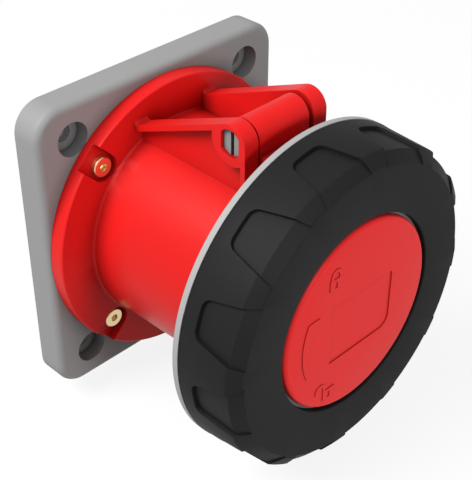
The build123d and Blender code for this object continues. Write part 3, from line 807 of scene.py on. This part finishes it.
class SOCKET_OT_grip(bpy.types.Operator):
    """Mould the rubber grip with its sunk pads"""

    bl_idname = "socket.grip"
    bl_label = "Rubber Grip"

    def execute(self, context):
        size = context.scene.socket_sizes
        back, front = -GRIP_HIGH[1], -GRIP_LOW[1]
        rear_radius = GRIP_HIGH[0]
        profile = [
            (rear_radius, back),
            (size.grip_shoulder, size.grip_shoulder_depth),
            (size.grip_front, front),
            (size.grip_window, front),
            (size.grip_window, front - size.grip_wall),
            (size.grip_bore, front - size.grip_wall),
            (size.grip_bore, back),
            (rear_radius, back),
        ]
        grip = turned("grip", profile, size.grip_steps)
        for radius, depth in (profile[1], profile[2], profile[3], profile[0]):
            round_edges(grip, on_ring(radius, depth), size.grip_edge, GRIP_EDGE_STEPS)
        combine(grip, self.pads(size, rear_radius, back, front), "DIFFERENCE")
        finished(grip, "grip_rubber", "ring", "black_rubber", "grip_ring")
        return {"FINISHED"}

    def pads(self, size, rear_radius, back, front):
        """Cutters for all pads, modelled once on the unrolled skin and bent round.

        On the unrolled skin x runs round the grip, z runs from the rear edge over the shoulder to the
        front, and the lift stands off it.
        """
        rear = Vector((rear_radius, back))
        shoulder = Vector((size.grip_shoulder, size.grip_shoulder_depth))
        edge = Vector((size.grip_front, front))
        flank = (shoulder - rear).length
        bevel = (edge - shoulder).length
        start = (size.pad_back - back) * flank / (shoulder.y - rear.y)
        spread = (size.pad_front_half - size.pad_shoulder_half) / bevel
        end_half = size.pad_front_half + spread * size.pad_overrun
        half = [
            (size.pad_back_half, start),
            (size.pad_shoulder_half, flank),
            (end_half, flank + bevel + size.pad_overrun),
        ]
        outline = half + [(-x, s) for x, s in reversed(half)]
        cutter = relief("pad_cutter", [outline], -size.pad_sink, size.pad_sink)
        for side in (-1, 1):
            round_edges(cutter, along_y(side * size.pad_back_half, start), size.pad_corner, PAD_CORNER_STEPS)
        self.divide(cutter, size, (flank, flank + bevel))
        self.bend(cutter, size, (rear, shoulder, edge), (flank, bevel))
        tidied(cutter)
        cutters = []
        for i in range(size.pad_count):
            turn = Matrix.Rotation(size.pad_phase - i * 2 * math.pi / size.pad_count, 4, "Y")
            cutters.append(twin(cutter, "pad_cutter", turn))
        bpy.data.objects.remove(cutter, do_unlink=True)
        return joined("pad_cutters", cutters)

    def divide(self, cutter, size, levels):
        """Cuts the unrolled cutter into strips, so that it can bend round the grip."""
        activate(cutter)
        bpy.ops.object.mode_set(mode="EDIT")
        bpy.ops.mesh.select_mode(type="VERT")
        reach = int(size.pad_front_half * STRIP_REACH / size.strip)
        for i in range(-reach, reach + 1):
            bpy.ops.mesh.select_all(action="SELECT")
            bpy.ops.mesh.bisect(plane_co=(i * size.strip, 0, 0), plane_no=(1, 0, 0))
        for level in levels:
            bpy.ops.mesh.select_all(action="SELECT")
            bpy.ops.mesh.bisect(plane_co=(0, 0, level), plane_no=(0, 0, 1))
        bpy.ops.object.mode_set(mode="OBJECT")

    def bend(self, cutter, size, corners, lengths):
        """Bends the unrolled cutter round the grip's skin.

        Towards the shoulder its floor turns to face the axis, so that it doesn't break through, and
        from there to the front its depth runs out.
        """
        rear, shoulder, edge = corners
        flank, bevel = lengths
        along_flank, along_bevel = (shoulder - rear) / flank, (edge - shoulder) / bevel
        out_flank = Vector((along_flank.y, -along_flank.x))
        out_bevel = Vector((along_bevel.y, -along_bevel.x))
        mitre = (out_flank + out_bevel) / (1 + out_flank.dot(out_bevel))
        radial = Vector((1, 0))
        for vertex in cutter.data.vertices:
            x, lift, s = vertex.co.x, -vertex.co.y, vertex.co.z
            if s < flank:
                out = out_flank.lerp(radial if lift < 0 else mitre, s / flank)
                spot = rear + along_flank * s + out * lift
            else:
                part = min(1.0, (s - flank) / bevel)
                sunk = lift < 0
                lift *= 1.0 - part * size.pad_fade if sunk else 1.0
                out = (radial if sunk else mitre).lerp(out_bevel, part)
                spot = shoulder + along_bevel * (s - flank) + out * lift
            angle = x / size.grip_shoulder
            vertex.co = (spot.x * math.sin(angle), -spot.y, spot.x * math.cos(angle))


# Camera, as solved from the round and square outlines in a picture of 472 by 480
IMAGE_WIDTH = 472
IMAGE_CENTRE_X, IMAGE_CENTRE_Y = 236.0, 240.0
FOCAL_PIXELS = 1134.627
AXIS_X, AXIS_Y = 229.824, 242.157
SENSOR_WIDTH = 36.0
CLIP_START = 10 * MM
CAMERA_DISTANCE = 387.63 * MM
CAMERA_TARGET = Vector((0.598, -41.64, -1.219)) * MM
CAMERA_AZIMUTH = math.radians(-45.0)
CAMERA_ELEVATION = math.radians(35.2644)

# Stage, in metres where nothing else is said
FLOOR_SIZE = 8.0
FLOOR_DROP = 6.0 * MM
# Share of its colour that the floor shows to the object, so that it throws little light back
FLOOR_BOUNCE = 0.31
# Strength of the sky in reflections
GLOSSY_SKY = 0.7
LAMP_TARGET = (0, -0.05, 0)
KEY_PLACE, KEY_WIDTH = (-0.80, 0.22, 1.00), 0.7
FILL_PLACE, FILL_WIDTH = (-0.28, -1.25, 0.46), 0.3


def soft_lamp(name, spot, width, power):
    """Round soft lamp that faces the object."""
    lamp = bpy.data.lights.new(name, "AREA")
    lamp.shape = "DISK"
    lamp.size = width
    lamp.energy = power
    obj = bpy.data.objects.new(name, lamp)
    bpy.context.scene.collection.objects.link(obj)
    obj.location = spot
    obj.rotation_euler = (Vector(LAMP_TARGET) - Vector(spot)).to_track_quat("-Z", "Y").to_euler()


def ray(tree, kind):
    """One where the ray that arrives is of a kind, and nought elsewhere."""
    return node(tree, "ShaderNodeLightPath", {}, output="Is %s Ray" % kind)


def pale_world(ambient):
    """Even light from all round, and plain white where the camera or glass looks past the object."""
    world = bpy.data.worlds.new("studio")
    bpy.context.scene.world = world
    world.use_nodes = True
    tree = world.node_tree
    clear = ray(tree, "Camera").most(ray(tree, "Transmission"))
    mirrored = ray(tree, "Glossy") * (GLOSSY_SKY - ambient) + ambient
    background = tree.nodes["Background"]
    background.inputs["Color"].default_value = WHITE
    feed(tree, background, "Strength", mirrored + clear * (1.0 - mirrored))


def floor_finish(glow):
    """Pale floor that looks white to the camera but keeps a soft shadow."""
    material, tree, shader = blank("studio_floor")
    pale = bpy.context.scene.socket_colours.floor
    seen = ray(tree, "Camera")
    feed(tree, shader, "Base Color", mix_colours(tree, seen, four(pale, FLOOR_BOUNCE), four(pale)))
    shader.inputs["Roughness"].default_value = 0.9
    shader.inputs["Specular IOR Level"].default_value = 0.1
    white = node(tree, "ShaderNodeEmission", {}, Color=WHITE)
    glowing = seen.most(ray(tree, "Glossy")) * glow
    mixed = node(tree, "ShaderNodeMixShader", {}, glowing, Value(tree, shader.outputs[0]), white)
    feed(tree, tree.nodes["Material Output"], "Surface", mixed)
    return material


class SOCKET_OT_stage(bpy.types.Operator):
    """Set up the floor, the lamps, the world and the camera"""

    bl_idname = "socket.stage"
    bl_label = "Stage"

    def execute(self, context):
        scene = context.scene
        scene.view_settings.view_transform = "Standard"
        light = scene.socket_light
        deselect()
        bpy.ops.mesh.primitive_plane_add(size=FLOOR_SIZE, location=(0, 0, CAD_BOX[0][2] - FLOOR_DROP))
        floor = settled("studio_floor")
        floor.data.materials.append(floor_finish(light.floor_glow))
        pale_world(light.ambient)
        soft_lamp("key", KEY_PLACE, KEY_WIDTH, light.key_power)
        soft_lamp("fill", FILL_PLACE, FILL_WIDTH, light.fill_power)
        lens = bpy.data.cameras.new("camera")
        lens.sensor_fit = "HORIZONTAL"
        lens.sensor_width = SENSOR_WIDTH
        lens.lens = FOCAL_PIXELS * lens.sensor_width / IMAGE_WIDTH
        lens.shift_x = (IMAGE_CENTRE_X - AXIS_X) / IMAGE_WIDTH
        lens.shift_y = (AXIS_Y - IMAGE_CENTRE_Y) / IMAGE_WIDTH
        lens.clip_start = CLIP_START
        camera = bpy.data.objects.new("camera", lens)
        scene.collection.objects.link(camera)
        away = Vector((
            math.sin(CAMERA_AZIMUTH) * math.cos(CAMERA_ELEVATION),
            -math.cos(CAMERA_AZIMUTH) * math.cos(CAMERA_ELEVATION),
            math.sin(CAMERA_ELEVATION),
        ))
        camera.location = CAMERA_TARGET + away * CAMERA_DISTANCE
        camera.rotation_euler = (-away).to_track_quat("-Z", "Y").to_euler()
        scene.camera = camera
        return {"FINISHED"}


OPERATORS = (
    SOCKET_OT_finishes,
    SOCKET_OT_housing,
    SOCKET_OT_cap,
    SOCKET_OT_screws,
    SOCKET_OT_grip,
    SOCKET_OT_stage,
)


class SOCKET_PT_panel(bpy.types.Panel):
    """Steps of the socket, in order"""

    bl_idname = "SOCKET_PT_panel"
    bl_label = "Socket"
    bl_space_type = "VIEW_3D"
    bl_region_type = "UI"
    bl_category = "Socket"

    def draw(self, context):
        column = self.layout.column()
        for operator in OPERATORS:
            column.operator(operator.bl_idname)


CLASSES = (SocketLight, SocketSizes, SocketColours) + OPERATORS + (SOCKET_PT_panel,)


def register():
    for kind in CLASSES:
        bpy.utils.register_class(kind)
    bpy.types.Scene.socket_light = PointerProperty(type=SocketLight)
    bpy.types.Scene.socket_sizes = PointerProperty(type=SocketSizes)
    bpy.types.Scene.socket_colours = PointerProperty(type=SocketColours)


def unregister():
    del bpy.types.Scene.socket_light
    del bpy.types.Scene.socket_sizes
    del bpy.types.Scene.socket_colours
    for kind in reversed(CLASSES):
        bpy.utils.unregister_class(kind)


def main():
    register()
    for operator in OPERATORS:
        group, name = operator.bl_idname.split(".")
        getattr(getattr(bpy.ops, group), name)()


if __name__ == "__main__":
    main()
